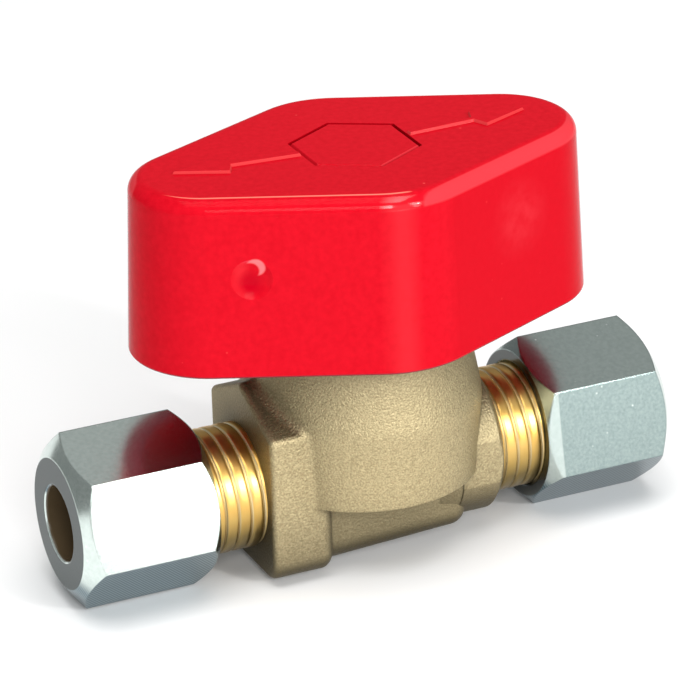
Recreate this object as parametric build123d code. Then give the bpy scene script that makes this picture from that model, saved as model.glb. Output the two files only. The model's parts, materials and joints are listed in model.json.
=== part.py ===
from build123d import *
import math
import os

# Quick closing valve, in millimetres. X runs along the pipe, Z up along the stem, and the
# origin is where the two axes cross. The front is -Y. The handle is drawn in the open position.

# Tube joints at both ends: 8 mm tube, 24 degree cone, M14 x 1.5 thread drawn at its root
TUBE_R = 4.0
TUBE_CLEARANCE = 0.1
THREAD_R = 7.0
THREAD_DEPTH = 0.92
THREAD_CLEARANCE = 0.09
CONE_HALF_ANGLE = 12.0
SPIGOT_LIP = 1.03
SPIGOT_GRIP = 6.0
TUBE_STOP_DEPTH = 10.0
LEFT_SPIGOT_LENGTH = 12.05
RIGHT_SPIGOT_LENGTH = 11.35
PASSAGE_R = 3.0

# Union nuts; the tilt turns the front flat up from the horizontal
NUT_FLATS = 17.0
NUT_LENGTH = 15.5
NUT_OUTER_FACE_R = 7.3
NUT_OUTER_CHAMFER_ANGLE = 33.0
NUT_INNER_FACE_R = 8.4
NUT_INNER_CHAMFER_ANGLE = 42.0
NUT_BORE_R = 4.15
NUT_BORE_CHAMFER = 0.25
NUT_MOUTH_RELIEF = 0.25
LEFT_NUT_TILT = 16.3
RIGHT_NUT_TILT = 10.7

# Cutting rings, set in the cones
RING_CLEARANCE = 0.05
RING_NOSE_DEPTH = 2.6
RING_COLLAR_GAP = 0.6
RING_COLLAR_LENGTH = 2.4
RING_TAIL_WALL = 0.8

# Seat, piston and spring, from the stem axis outwards
STEM_TAIL_R = 3.0
SLEEVE_CLEARANCE = 0.1
SLEEVE_WALL = 2.4
SKIRT_CLEARANCE = 0.1
SKIRT_WALL = 1.2
SPRING_CLEARANCE = 0.3
SPRING_WIRE_R = 0.55
SPRING_TURNS = 5.5
SPRING_WIRE_SIDES = 8
THREAD_SLEEVE_WALL = 2.4
BONNET_CLEARANCE = 0.05
CHAMBER_STEP = 1.4
NECK_WALL = 1.1
DRUM_SHOULDER = 1.25

# The same pieces, from the pipe axis upwards
FLOOR_WALL = 2.0
SEAT_LIP_HEIGHT = 1.0
SEAT_LIP_WALL = 1.4
ORIFICE_R = 2.8
OUTLET_R = 2.2
OUTLET_WALL = 1.5
DRILL_OVERRUN = 0.3
LIFT = 2.5
SEAL_R = 5.4
SEAL_THICKNESS = 1.8
SEAL_PROUD = 0.3
SEAL_CLEARANCE = 0.05
SEAL_SCREW_R = 1.5
SEAL_SCREW_HEAD_R = 2.2
SEAL_SCREW_HEAD = 1.3
SEAL_SLOT_WIDTH = 0.75
SEAL_SLOT_DEPTH = 0.65
SEAL_WASHER_R = 2.5
SEAL_WASHER_THICKNESS = 0.5
PISTON_FLANGE = 2.3
PISTON_WEB = 1.6
STEM_END_GAP = 0.3
PIN_R = 1.0
PIN_CLEARANCE = 0.1
PIN_FIT = 0.02
PIN_TAIL = 1.7
SLEEVE_CROWN = 1.0
LUG_ANGLE = 135.0
LUG_WIDTH = 2.2
LUG_HEIGHT = 2.4
LUG_CLEARANCE = 0.1
SKIRT_GAP = 0.4

# Stem, seals and bonnet
STEM_R = 4.0
STEM_CLEARANCE = 0.05
STEM_COLLAR = 1.0
STEM_COLLAR_GAP = 0.25
THRUST_WASHER = 0.6
WASHER_CLEARANCE = 0.05
O_RING_R = 0.55
O_RING_CLEARANCE = 0.02
O_RING_GROOVE = 1.4
O_RING_LAND = 0.8
GLAND_LENGTH = 5.2
BONNET_SEAT_STEP = 0.6
BONNET_THREAD_LENGTH = 5.0
BONNET_FLANGE = 1.2
BONNET_RIM = 1.0
BONNET_HEX_FLATS = 19.0
BONNET_HEX_HEIGHT = 2.2
BONNET_NECK_R = 6.2
BONNET_O_RING_R = 0.5
POCKET_ROOF = 0.25

# Handle fixing, under the hexagonal cap
SQUARE_FLATS = 6.2
SQUARE_CLEARANCE = 0.05
HUB_GAP = 0.3
SOCKET_DEPTH = 3.6
STEM_TOP_GAP = 0.1
HUB_WEB = 2.05
SCREW_R = 2.0
SCREW_CLEARANCE = 0.15
SCREW_DEPTH = 4.4
SCREW_TIP_GAP = 1.0
SCREW_FIT = 0.02
SCREW_HEAD_R = 3.3
SCREW_HEAD = 2.2
SCREW_SLOT_WIDTH = 0.9
SCREW_SLOT_DEPTH = 1.0
SCREW_WASHER_R = 3.8
SCREW_WASHER = 0.8
COUNTERBORE_CLEARANCE = 0.3
CAP_HEADROOM = 0.2
CAP_FLATS = 12.2
CAP_THICKNESS = 1.75
CAP_GROOVE = 0.2
CAP_EDGE = 0.25
CAP_SKIRT_DEPTH = 1.6
CAP_SKIRT_WALL = 0.5
CAP_SKIRT_CLEARANCE = 0.05

# Handle, a rhombus of two tip arcs and two side arcs with straight flanks
HANDLE_HALF_LENGTH = 26.5
HANDLE_HALF_WIDTH = 17.05
HANDLE_TIP_R = 9.35
HANDLE_SIDE_R = 11.0
HANDLE_HEIGHT = 19.95
HANDLE_DRAFT = 2.45
HANDLE_TOP_FILLET = 1.7
HANDLE_FOOT_FILLET = 0.5
HANDLE_WALL = 2.2
HUB_WALL = 1.2
RIB_WIDTH = 1.6
DENT_R = 2.2
DENT_DEPTH = 0.5
DENT_HEIGHT = 11.45
DENT_ALONG = 11.0

# Forged body
DRUM_BOTTOM_Z = -0.6
DRUM_SHOULDER_Z = 8.3
DRUM_SHOULDER_HEIGHT = 6.7
DRUM_BLEND_R = 6.0
DRUM_DRAFT = 3.2
LEFT_COLLAR_X = 14.6
COLLAR_HALF_WIDTH = 8.5
COLLAR_DEPTH = 8.85
COLLAR_EAVE_Z = 8.3
COLLAR_RIDGE_Z = 12.1
COLLAR_CORNER_R = 2.4
COLLAR_ROOF_R = 0.8
COLLAR_EDGE_R = 0.7
COLLAR_BLEND_R = 1.3
FOOT_LENGTH = 7.25
FOOT_EDGE_R = 1.3
BARREL_HALF_WIDTH = 7.6
BARREL_DEPTH = 8.55
BARREL_CORNER_R = 3.0
BARREL_DRAFT = 2.2
BARREL_END_X = 9.8
BARREL_END_R = 2.0
RIGHT_COLLAR_X = 13.55
BOSS_START_X = 8.5
BOSS_R = 8.5
BOSS_HALF_WIDTH = 8.1
BOSS_EDGE = 0.6
OVERLAP = 1.0

# Radii that follow
SOCKET_R = TUBE_R + TUBE_CLEARANCE
SPIGOT_R = THREAD_R - THREAD_DEPTH
CONE_MOUTH_R = SPIGOT_R - SPIGOT_LIP
CONE_SLOPE = math.tan(math.radians(CONE_HALF_ANGLE))
NUT_CORE_R = SPIGOT_R + THREAD_CLEARANCE
SLEEVE_BORE_R = STEM_TAIL_R + SLEEVE_CLEARANCE
SLEEVE_R = SLEEVE_BORE_R + SLEEVE_WALL
SKIRT_BORE_R = SLEEVE_R + SKIRT_CLEARANCE
SKIRT_R = SKIRT_BORE_R + SKIRT_WALL
SPRING_R = SKIRT_R + SPRING_CLEARANCE + SPRING_WIRE_R
POCKET_R = SPRING_R + SPRING_WIRE_R + SPRING_CLEARANCE
BONNET_R = POCKET_R + THREAD_SLEEVE_WALL
BONNET_BORE_R = BONNET_R + BONNET_CLEARANCE
CHAMBER_R = BONNET_BORE_R - CHAMBER_STEP
NECK_R = BONNET_BORE_R + NECK_WALL
DRUM_R = NECK_R + DRUM_SHOULDER
PIN_REACH = SLEEVE_R - PIN_CLEARANCE
STEM_BORE_R = STEM_R + STEM_CLEARANCE
STEM_COLLAR_R = SKIRT_BORE_R - SKIRT_CLEARANCE
O_RING_CENTRE_R = STEM_BORE_R - O_RING_CLEARANCE - O_RING_R
GROOVE_R = O_RING_CENTRE_R - O_RING_R - O_RING_CLEARANCE
BONNET_O_RING_CENTRE_R = BONNET_BORE_R - O_RING_CLEARANCE - BONNET_O_RING_R
BONNET_GROOVE_R = BONNET_O_RING_CENTRE_R - BONNET_O_RING_R - O_RING_CLEARANCE
BONNET_FLANGE_R = BONNET_BORE_R + BONNET_RIM
COUNTERBORE_R = SCREW_WASHER_R + COUNTERBORE_CLEARANCE
RECESS_FLATS = CAP_FLATS + 2 * CAP_GROOVE
HUB_R = RECESS_FLATS / math.sqrt(3) + HUB_WALL

# Heights that follow, with the piston lifted
FLOOR_Z = PASSAGE_R + FLOOR_WALL
SEAT_Z = FLOOR_Z + SEAT_LIP_HEIGHT
SEAL_Z = SEAT_Z + LIFT
PISTON_FACE_Z = SEAL_Z + SEAL_PROUD
SEAL_TOP_Z = SEAL_Z + SEAL_THICKNESS
FLANGE_TOP_Z = PISTON_FACE_Z + PISTON_FLANGE
SLEEVE_FLOOR_Z = SEAL_TOP_Z + PISTON_WEB
STEM_END_Z = SLEEVE_FLOOR_Z + STEM_END_GAP
PIN_Z = STEM_END_Z + PIN_TAIL
CAM_PITCH = 4 * LIFT
CAM_END_ANGLE = math.degrees(math.asin((PIN_R + PIN_CLEARANCE) / SLEEVE_BORE_R))
CAM_END_RISE = CAM_PITCH * CAM_END_ANGLE / 360
CAM_SLOPE = math.atan(CAM_PITCH / (2 * math.pi * SLEEVE_BORE_R))
SLOT_HEIGHT = 2 * (PIN_R + PIN_CLEARANCE) / math.cos(CAM_SLOPE)
SLOT_TOP_Z = PIN_Z + LIFT + CAM_END_RISE + SLOT_HEIGHT / 2
SLEEVE_TOP_Z = SLOT_TOP_Z + SLEEVE_CROWN
STEM_COLLAR_Z = SLEEVE_TOP_Z + STEM_COLLAR_GAP
THRUST_WASHER_Z = STEM_COLLAR_Z + STEM_COLLAR
GLAND_Z = THRUST_WASHER_Z + THRUST_WASHER
BONNET_TOP_Z = GLAND_Z + GLAND_LENGTH
BODY_TOP_Z = GLAND_Z + BONNET_SEAT_STEP
BONNET_THREAD_Z = BODY_TOP_Z - BONNET_THREAD_LENGTH
BONNET_GROOVE_Z = BODY_TOP_Z - 2 * (BONNET_O_RING_R + O_RING_CLEARANCE)
POCKET_TOP_Z = BONNET_GROOVE_Z - POCKET_ROOF
HEX_Z = BODY_TOP_Z + BONNET_FLANGE
SKIRT_BOTTOM_Z = FLANGE_TOP_Z + SKIRT_GAP
LUG_Z = SKIRT_BOTTOM_Z + LIFT + LUG_CLEARANCE
HUB_BOTTOM_Z = BONNET_TOP_Z + HUB_GAP
SOCKET_TOP_Z = HUB_BOTTOM_Z + SOCKET_DEPTH
STEM_TOP_Z = SOCKET_TOP_Z - STEM_TOP_GAP
SCREW_SEAT_Z = SOCKET_TOP_Z + HUB_WEB
SCREW_HEAD_Z = SCREW_SEAT_Z + SCREW_WASHER
SCREW_TOP_Z = SCREW_HEAD_Z + SCREW_HEAD
RECESS_Z = SCREW_TOP_Z + CAP_HEADROOM
HANDLE_TOP_Z = RECESS_Z + CAP_THICKNESS
HANDLE_BOTTOM_Z = HANDLE_TOP_Z - HANDLE_HEIGHT

# Places along the pipe that follow
ENDS = {
    "left": (-1, LEFT_COLLAR_X, LEFT_SPIGOT_LENGTH, LEFT_NUT_TILT),
    "right": (1, RIGHT_COLLAR_X, RIGHT_SPIGOT_LENGTH, RIGHT_NUT_TILT),
}
INLET_END_X = ORIFICE_R + DRILL_OVERRUN
OUTLET_END_X = INLET_END_X + OUTLET_WALL
OUTLET_X = OUTLET_END_X + DRILL_OVERRUN + OUTLET_R
PASSAGE_END_X = {"left": -INLET_END_X, "right": OUTLET_END_X}
FOOT_END_X = LEFT_COLLAR_X - FOOT_LENGTH

# Handle outline: arc centres, the flanks' outward angle from X, and the draft
TIP_X = HANDLE_HALF_LENGTH - HANDLE_TIP_R
SIDE_Y = HANDLE_HALF_WIDTH - HANDLE_SIDE_R
CENTRE_DISTANCE = math.hypot(TIP_X, SIDE_Y)
FLANK_ANGLE = math.acos((HANDLE_SIDE_R - HANDLE_TIP_R) / CENTRE_DISTANCE) - math.atan2(SIDE_Y, TIP_X)
HANDLE_SLOPE = math.tan(math.radians(HANDLE_DRAFT))

ON_BASE = (Align.CENTER, Align.CENTER, Align.MIN)


def turned_z(*points):
    """Solid turned about the stem axis from (radius, height) points."""
    return revolve(Plane.XZ * make_face(Polyline(*points, close=True)), Axis.Z)


def turned_x(*points):
    """Solid turned about the pipe axis from (distance, radius) points."""
    return revolve(make_face(Polyline(*points, close=True)), Axis.X)


def disc(radius, bottom, top):
    """Upright cylinder about the stem axis."""
    return Pos(0, 0, bottom) * Cylinder(radius, top - bottom, align=ON_BASE)


def upright_box(length, width, bottom, top):
    """Box about the stem axis between two heights."""
    return Pos(0, 0, bottom) * Box(length, width, top - bottom, align=ON_BASE)


def ring(inner, outer, bottom, top):
    """Upright tube about the stem axis."""
    return disc(outer, bottom, top) - disc(inner, bottom, top)


def hexagon(flats, bottom, top):
    """Upright hexagon prism with two corners on the Y axis."""
    outline = RegularPolygon(flats / 2, 6, major_radius=False, rotation=30)
    return Pos(0, 0, bottom) * extrude(outline, top - bottom)


def placed(solid, sign):
    """A piece drawn for the +X end, mirrored where it belongs to the other end."""
    return solid if sign > 0 else mirror(solid, Plane.YZ)


def drum():
    """Round upper part of the body, drafted down from its shoulder and up to a neck under the handle."""
    shoulder_top = DRUM_SHOULDER_Z + DRUM_SHOULDER_HEIGHT
    draft = (DRUM_SHOULDER_Z - DRUM_BOTTOM_Z) * math.tan(math.radians(DRUM_DRAFT))
    solid = turned_z(
        (0, DRUM_BOTTOM_Z),
        (DRUM_R - draft, DRUM_BOTTOM_Z),
        (DRUM_R, DRUM_SHOULDER_Z),
        (NECK_R, shoulder_top),
        (NECK_R, BODY_TOP_Z),
        (0, BODY_TOP_Z),
    )
    blends = solid.edges().filter_by(GeomType.CIRCLE).group_by(Axis.Z)
    return fillet(blends[1] + blends[2], DRUM_BLEND_R)


def left_collar():
    """Block with a roofed top, and the foot that carries it on under the drum, rounded all over."""
    outline = Polygon(
        (-COLLAR_HALF_WIDTH, -COLLAR_DEPTH),
        (COLLAR_HALF_WIDTH, -COLLAR_DEPTH),
        (COLLAR_HALF_WIDTH, COLLAR_EAVE_Z),
        (0, COLLAR_RIDGE_Z),
        (-COLLAR_HALF_WIDTH, COLLAR_EAVE_Z),
        align=None,
    )
    outline = fillet(outline.vertices().group_by(Axis.Y)[0], COLLAR_CORNER_R)
    eaves_and_ridge = [point for point in outline.vertices() if point.Y >= COLLAR_EAVE_Z]
    outline = fillet(eaves_and_ridge, COLLAR_ROOF_R)
    block = extrude(Plane.YZ.offset(-LEFT_COLLAR_X) * outline, FOOT_LENGTH)
    block = fillet(block.faces().sort_by(Axis.X)[0].edges(), COLLAR_EDGE_R)
    return fillet(block.faces().sort_by(Axis.X)[-1].edges(), FOOT_EDGE_R)


def drum_with_collar():
    """Drum and left collar, blended together above the drum's lower rim."""
    upper, block = drum(), left_collar()
    solid = upper + block
    seam = new_edges(upper, block, combined=solid)
    return fillet([edge for edge in seam if edge.center().Z > DRUM_BOTTOM_Z + COLLAR_BLEND_R], COLLAR_BLEND_R)


def barrel():
    """Drafted run under the drum, from the foot to the boss."""
    outline = Polygon(
        (-BARREL_HALF_WIDTH, -BARREL_DEPTH),
        (BARREL_HALF_WIDTH, -BARREL_DEPTH),
        (BARREL_HALF_WIDTH, FLOOR_Z),
        (-BARREL_HALF_WIDTH, FLOOR_Z),
        align=None,
    )
    outline = fillet(outline.vertices().group_by(Axis.Y)[0], BARREL_CORNER_R)
    start = -FOOT_END_X - OVERLAP
    run = extrude(Plane.YZ.offset(start) * outline, BARREL_END_X - start, taper=BARREL_DRAFT)
    return fillet(run.faces().sort_by(Axis.X)[-1].edges(), BARREL_END_R)


def right_boss():
    """Round boss with two narrow flats."""
    boss = turned_x(
        (BOSS_START_X, 0),
        (BOSS_START_X, BOSS_R),
        (RIGHT_COLLAR_X - BOSS_EDGE, BOSS_R),
        (RIGHT_COLLAR_X, BOSS_R - BOSS_EDGE),
        (RIGHT_COLLAR_X, 0),
    )
    return boss & Box(4 * RIGHT_COLLAR_X, 2 * BOSS_HALF_WIDTH, 4 * BOSS_R)


def spigot(sign, collar, length):
    """Stub for the union nut's thread, drawn at the thread's root."""
    mouth = collar + length
    edge = SPIGOT_LIP / 2
    stub = turned_x(
        (collar - OVERLAP, 0),
        (collar - OVERLAP, SPIGOT_R),
        (mouth - edge, SPIGOT_R),
        (mouth, SPIGOT_R - edge),
        (mouth, 0),
    )
    return placed(stub, sign)


def tube_way(sign, collar, length, inner_end):
    """Cone, tube socket and passage, as the space to cut away."""
    mouth = collar + length
    socket = mouth - (CONE_MOUTH_R - SOCKET_R) / CONE_SLOPE
    stop = mouth - TUBE_STOP_DEPTH
    space = turned_x(
        (mouth + OVERLAP, 0),
        (mouth + OVERLAP, CONE_MOUTH_R + OVERLAP * CONE_SLOPE),
        (socket, SOCKET_R),
        (stop, SOCKET_R),
        (stop, PASSAGE_R),
        (inner_end, PASSAGE_R),
        (inner_end, 0),
    )
    return placed(space, sign)


def valve_body():
    """Forged body with its seat, chamber and passages."""
    body = drum_with_collar() + barrel() + right_boss()
    for side, (sign, collar, length, _) in ENDS.items():
        body += spigot(sign, collar, length)
        body -= tube_way(sign, collar, length, PASSAGE_END_X[side])
    chamber = turned_z(
        (0, SEAT_Z),
        (ORIFICE_R + SEAT_LIP_WALL, SEAT_Z),
        (ORIFICE_R + SEAT_LIP_WALL, FLOOR_Z),
        (CHAMBER_R, FLOOR_Z),
        (CHAMBER_R, BONNET_THREAD_Z),
        (BONNET_BORE_R, BONNET_THREAD_Z),
        (BONNET_BORE_R, BODY_TOP_Z + OVERLAP),
        (0, BODY_TOP_Z + OVERLAP),
    )
    orifice = disc(ORIFICE_R, 0, SEAT_Z + OVERLAP)
    outlet = Pos(OUTLET_X, 0, 0) * disc(OUTLET_R, 0, FLOOR_Z + OVERLAP)
    return body - chamber - orifice - outlet


def bonnet():
    """Gland with a stem bore, a guide skirt and a pocket for the spring."""
    turned = turned_z(
        (STEM_BORE_R, GLAND_Z),
        (SKIRT_BORE_R, GLAND_Z),
        (SKIRT_BORE_R, SKIRT_BOTTOM_Z),
        (SKIRT_R, SKIRT_BOTTOM_Z),
        (SKIRT_R, POCKET_TOP_Z),
        (POCKET_R, POCKET_TOP_Z),
        (POCKET_R, BONNET_THREAD_Z),
        (BONNET_R, BONNET_THREAD_Z),
        (BONNET_R, BONNET_GROOVE_Z),
        (BONNET_GROOVE_R, BONNET_GROOVE_Z),
        (BONNET_GROOVE_R, BODY_TOP_Z),
        (BONNET_FLANGE_R, BODY_TOP_Z),
        (BONNET_FLANGE_R, HEX_Z),
        (BONNET_NECK_R, HEX_Z),
        (BONNET_NECK_R, BONNET_TOP_Z),
        (STEM_BORE_R, BONNET_TOP_Z),
    )
    head = hexagon(BONNET_HEX_FLATS, HEX_Z, HEX_Z + BONNET_HEX_HEIGHT)
    slots = lug_pair(LUG_WIDTH + 2 * LUG_CLEARANCE, SKIRT_R + OVERLAP, SKIRT_BOTTOM_Z - OVERLAP,
                     LUG_Z + LUG_HEIGHT + LUG_CLEARANCE)
    slots -= disc(SLEEVE_R, SKIRT_BOTTOM_Z - OVERLAP, GLAND_Z)
    return turned + (head - disc(STEM_BORE_R, HEX_Z, BONNET_TOP_Z)) - slots


def lug_pair(width, reach, bottom, top):
    """Bar across the sleeve, between the two cam slots."""
    return Rot(0, 0, LUG_ANGLE) * upright_box(2 * reach, width, bottom, top)


def cam_slot(turn):
    """Helical slot that lifts the piston as the pin turns back through a quarter."""
    middle = (SLEEVE_BORE_R + SLEEVE_R) / 2
    sweep_angle = 90 + 2 * CAM_END_ANGLE
    path = Helix(CAM_PITCH, CAM_PITCH * sweep_angle / 360, middle, lefthand=True)
    start = Plane(origin=path @ 0, x_dir=(1, 0, 0), z_dir=path % 0)
    section = start * Rectangle(SLEEVE_WALL + 2 * OVERLAP, 2 * (PIN_R + PIN_CLEARANCE))
    slot = sweep(section, path, is_frenet=True)
    return Pos(0, 0, PIN_Z - CAM_END_RISE) * Rot(0, 0, turn + CAM_END_ANGLE) * slot


def piston():
    """Lift sleeve with helical slots, guide lugs, the spring's flange and the seal's recess."""
    turned = turned_z(
        (0, SLEEVE_FLOOR_Z),
        (SLEEVE_BORE_R, SLEEVE_FLOOR_Z),
        (SLEEVE_BORE_R, SLEEVE_TOP_Z),
        (SLEEVE_R, SLEEVE_TOP_Z),
        (SLEEVE_R, FLANGE_TOP_Z),
        (SPRING_R + SPRING_WIRE_R, FLANGE_TOP_Z),
        (SPRING_R + SPRING_WIRE_R, PISTON_FACE_Z),
        (SEAL_R + SEAL_CLEARANCE, PISTON_FACE_Z),
        (SEAL_R + SEAL_CLEARANCE, SEAL_TOP_Z),
        (0, SEAL_TOP_Z),
    )
    lugs = lug_pair(LUG_WIDTH, SKIRT_R - LUG_CLEARANCE, LUG_Z, LUG_Z + LUG_HEIGHT)
    lugs -= disc(SLEEVE_BORE_R + SLEEVE_WALL / 2, LUG_Z, LUG_Z + LUG_HEIGHT)
    sleeve = turned + lugs - disc(SEAL_SCREW_R + SEAL_CLEARANCE, SEAL_TOP_Z, SLEEVE_FLOOR_Z)
    return sleeve - cam_slot(90) - cam_slot(270)


def seat_seal():
    """Rubber disc that closes on the seat."""
    return ring(SEAL_SCREW_R + SEAL_CLEARANCE, SEAL_R, SEAL_Z, SEAL_TOP_Z)


def seal_washer():
    """Washer under the seal screw's head."""
    return ring(SEAL_SCREW_R + SEAL_CLEARANCE, SEAL_WASHER_R, SEAL_Z - SEAL_WASHER_THICKNESS, SEAL_Z)


def seal_screw():
    """Slotted screw that holds the seal in the piston."""
    head_top = SEAL_Z - SEAL_WASHER_THICKNESS
    head_bottom = head_top - SEAL_SCREW_HEAD
    screw = disc(SEAL_SCREW_HEAD_R, head_bottom, head_top) + disc(SEAL_SCREW_R, head_top, SLEEVE_FLOOR_Z)
    slot = Box(4 * SEAL_SCREW_HEAD_R, SEAL_SLOT_WIDTH, 2 * SEAL_SLOT_DEPTH)
    return screw - Pos(0, 0, head_bottom) * slot


def closing_spring():
    """Spring between the bonnet's pocket and the piston's flange, its wire drawn with flat sides."""
    bottom = FLANGE_TOP_Z + SPRING_WIRE_R
    rise = POCKET_TOP_Z - SPRING_WIRE_R - bottom
    path = Helix(rise / SPRING_TURNS, rise, SPRING_R)
    start = Plane(origin=path @ 0, x_dir=(1, 0, 0), z_dir=path % 0)
    section = start * RegularPolygon(SPRING_WIRE_R, SPRING_WIRE_SIDES)
    return Pos(0, 0, bottom) * sweep(section, path, is_frenet=True)


def o_ring(centre_r, wire_r, height):
    """Rubber ring about the stem axis."""
    return Pos(0, 0, height) * Torus(centre_r, wire_r)


def stem():
    """Spindle from the cross pin up to the handle's square."""
    grooves = [GLAND_Z + O_RING_LAND, BONNET_TOP_Z - O_RING_LAND - O_RING_GROOVE]
    outline = [
        (0, STEM_END_Z),
        (STEM_TAIL_R, STEM_END_Z),
        (STEM_TAIL_R, STEM_COLLAR_Z),
        (STEM_COLLAR_R, STEM_COLLAR_Z),
        (STEM_COLLAR_R, THRUST_WASHER_Z),
        (STEM_R, THRUST_WASHER_Z),
    ]
    for bottom in grooves:
        top = bottom + O_RING_GROOVE
        outline += [(STEM_R, bottom), (GROOVE_R, bottom), (GROOVE_R, top), (STEM_R, top)]
    outline += [(STEM_R, STEM_TOP_Z), (0, STEM_TOP_Z)]
    square = upright_box(SQUARE_FLATS, SQUARE_FLATS, HUB_BOTTOM_Z, STEM_TOP_Z)
    flats = disc(STEM_R + OVERLAP, HUB_BOTTOM_Z, STEM_TOP_Z) - square
    cross_hole = Pos(0, 0, PIN_Z) * Rot(90, 0, 0) * Cylinder(PIN_R + PIN_FIT, 4 * STEM_TAIL_R)
    screw_hole = disc(SCREW_R, STEM_TOP_Z - SCREW_DEPTH, STEM_TOP_Z)
    return turned_z(*outline) - flats - cross_hole - screw_hole


def stem_o_rings():
    """The two seals in the stem's grooves, lower one first."""
    middles = [GLAND_Z + O_RING_LAND + O_RING_GROOVE / 2, BONNET_TOP_Z - O_RING_LAND - O_RING_GROOVE / 2]
    return [o_ring(O_RING_CENTRE_R, O_RING_R, middle) for middle in middles]


def thrust_washer():
    """Plain bearing ring over the stem's collar."""
    return ring(STEM_R + WASHER_CLEARANCE, STEM_COLLAR_R, THRUST_WASHER_Z, GLAND_Z)


def cam_pin():
    """Cross pin, along Y while the valve is open."""
    return Pos(0, 0, PIN_Z) * Rot(90, 0, 0) * Cylinder(PIN_R, 2 * PIN_REACH)


def handle_outline(inset, height):
    """Rhombic outline at one height, drawn in by the inset."""
    spread = math.degrees(FLANK_ANGLE)
    tip_r = HANDLE_TIP_R - inset
    side_r = HANDLE_SIDE_R - inset
    arcs = [
        CenterArc((TIP_X, 0), tip_r, -spread, 2 * spread),
        CenterArc((0, SIDE_Y), side_r, spread, 180 - 2 * spread),
        CenterArc((-TIP_X, 0), tip_r, 180 - spread, 2 * spread),
        CenterArc((0, -SIDE_Y), side_r, 180 + spread, 180 - 2 * spread),
    ]
    flanks = [Line(arc @ 1, arcs[(i + 1) % 4] @ 0) for i, arc in enumerate(arcs)]
    return Pos(0, 0, height) * make_face(arcs + flanks)


def handle_prism(inset, bottom, top):
    """Drafted rhombic block between two heights, drawn in from the handle's outside."""
    ends = [handle_outline(inset + HANDLE_SLOPE * (z - HANDLE_BOTTOM_Z), z) for z in (bottom, top)]
    return loft(ends, ruled=True)


def dent():
    """Shallow round dent in the front flank, left of the middle."""
    ball_r = (DENT_R**2 + DENT_DEPTH**2) / (2 * DENT_DEPTH)
    flank = TIP_X * math.cos(FLANK_ANGLE) + HANDLE_TIP_R - HANDLE_SLOPE * DENT_HEIGHT
    outward = Vector(-math.cos(FLANK_ANGLE), -math.sin(FLANK_ANGLE))
    along = Vector(-math.sin(FLANK_ANGLE), math.cos(FLANK_ANGLE))
    centre = outward * (flank + ball_r - DENT_DEPTH) + along * DENT_ALONG
    return Pos(centre.X, centre.Y, HANDLE_BOTTOM_Z + DENT_HEIGHT) * Sphere(ball_r)


def handle():
    """Hollow rhombic cap with a hub, ribs, the stem's square socket and the cap's recess."""
    shell = handle_prism(0, HANDLE_BOTTOM_Z, HANDLE_TOP_Z)
    shell = fillet(shell.faces().sort_by(Axis.Z)[-1].edges(), HANDLE_TOP_FILLET)
    shell = fillet(shell.faces().sort_by(Axis.Z)[0].edges(), HANDLE_FOOT_FILLET)
    ceiling = HANDLE_TOP_Z - HANDLE_WALL
    cavity = handle_prism(HANDLE_WALL, HANDLE_BOTTOM_Z - OVERLAP, ceiling)
    long_rib = upright_box(2 * HANDLE_HALF_LENGTH, RIB_WIDTH, HUB_BOTTOM_Z, ceiling)
    cross_rib = upright_box(RIB_WIDTH, 2 * HANDLE_HALF_WIDTH, HUB_BOTTOM_Z, ceiling)
    inside = disc(HUB_R, HUB_BOTTOM_Z, ceiling) + long_rib + cross_rib
    socket_flats = SQUARE_FLATS + 2 * SQUARE_CLEARANCE
    cap = shell - (cavity - inside)
    cap -= upright_box(socket_flats, socket_flats, HUB_BOTTOM_Z, SOCKET_TOP_Z)
    cap -= disc(SCREW_R + SCREW_CLEARANCE, SOCKET_TOP_Z, SCREW_SEAT_Z)
    cap -= disc(COUNTERBORE_R, SCREW_SEAT_Z, RECESS_Z)
    cap -= hexagon(RECESS_FLATS, RECESS_Z, HANDLE_TOP_Z)
    return cap - dent()


def handle_cap():
    """Bare hexagonal cover with a round skirt that snaps into the counterbore."""
    plate = hexagon(CAP_FLATS, RECESS_Z, HANDLE_TOP_Z)
    plate = chamfer(plate.faces().sort_by(Axis.Z)[-1].edges(), CAP_EDGE)
    skirt_r = COUNTERBORE_R - CAP_SKIRT_CLEARANCE
    return plate + ring(skirt_r - CAP_SKIRT_WALL, skirt_r, RECESS_Z - CAP_SKIRT_DEPTH, RECESS_Z)


def handle_screw():
    """Slotted screw down into the stem."""
    head = disc(SCREW_HEAD_R, SCREW_HEAD_Z, SCREW_TOP_Z)
    shank = disc(SCREW_R - SCREW_FIT, STEM_TOP_Z - SCREW_DEPTH + SCREW_TIP_GAP, SCREW_HEAD_Z)
    slot = Box(4 * SCREW_HEAD_R, SCREW_SLOT_WIDTH, 2 * SCREW_SLOT_DEPTH)
    return head + shank - Pos(0, 0, SCREW_TOP_Z) * slot


def screw_washer():
    """Washer under the handle screw's head."""
    return ring(SCREW_R + SCREW_CLEARANCE, SCREW_WASHER_R, SCREW_SEAT_Z, SCREW_HEAD_Z)


def ring_stations(mouth):
    """Where a cutting ring's collar starts and ends, along the pipe."""
    start = mouth + RING_COLLAR_GAP
    return start, start + RING_COLLAR_LENGTH


def cutting_ring(sign, collar, length):
    """Ring with a nose in the cone and a sloped collar under the nut's shoulder."""
    mouth = collar + length
    start, end = ring_stations(mouth)
    nose = mouth - RING_NOSE_DEPTH
    neck_r = CONE_MOUTH_R - RING_CLEARANCE
    collar_r = NUT_CORE_R - RING_CLEARANCE
    tail_r = SOCKET_R + RING_TAIL_WALL
    body = turned_x(
        (nose, SOCKET_R),
        (nose, neck_r - RING_NOSE_DEPTH * CONE_SLOPE),
        (mouth, neck_r),
        (start, neck_r),
        (start, collar_r),
        (end, collar_r),
        (end + collar_r - tail_r, tail_r),
        (end + collar_r - tail_r, SOCKET_R),
    )
    return placed(body, sign)


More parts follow.
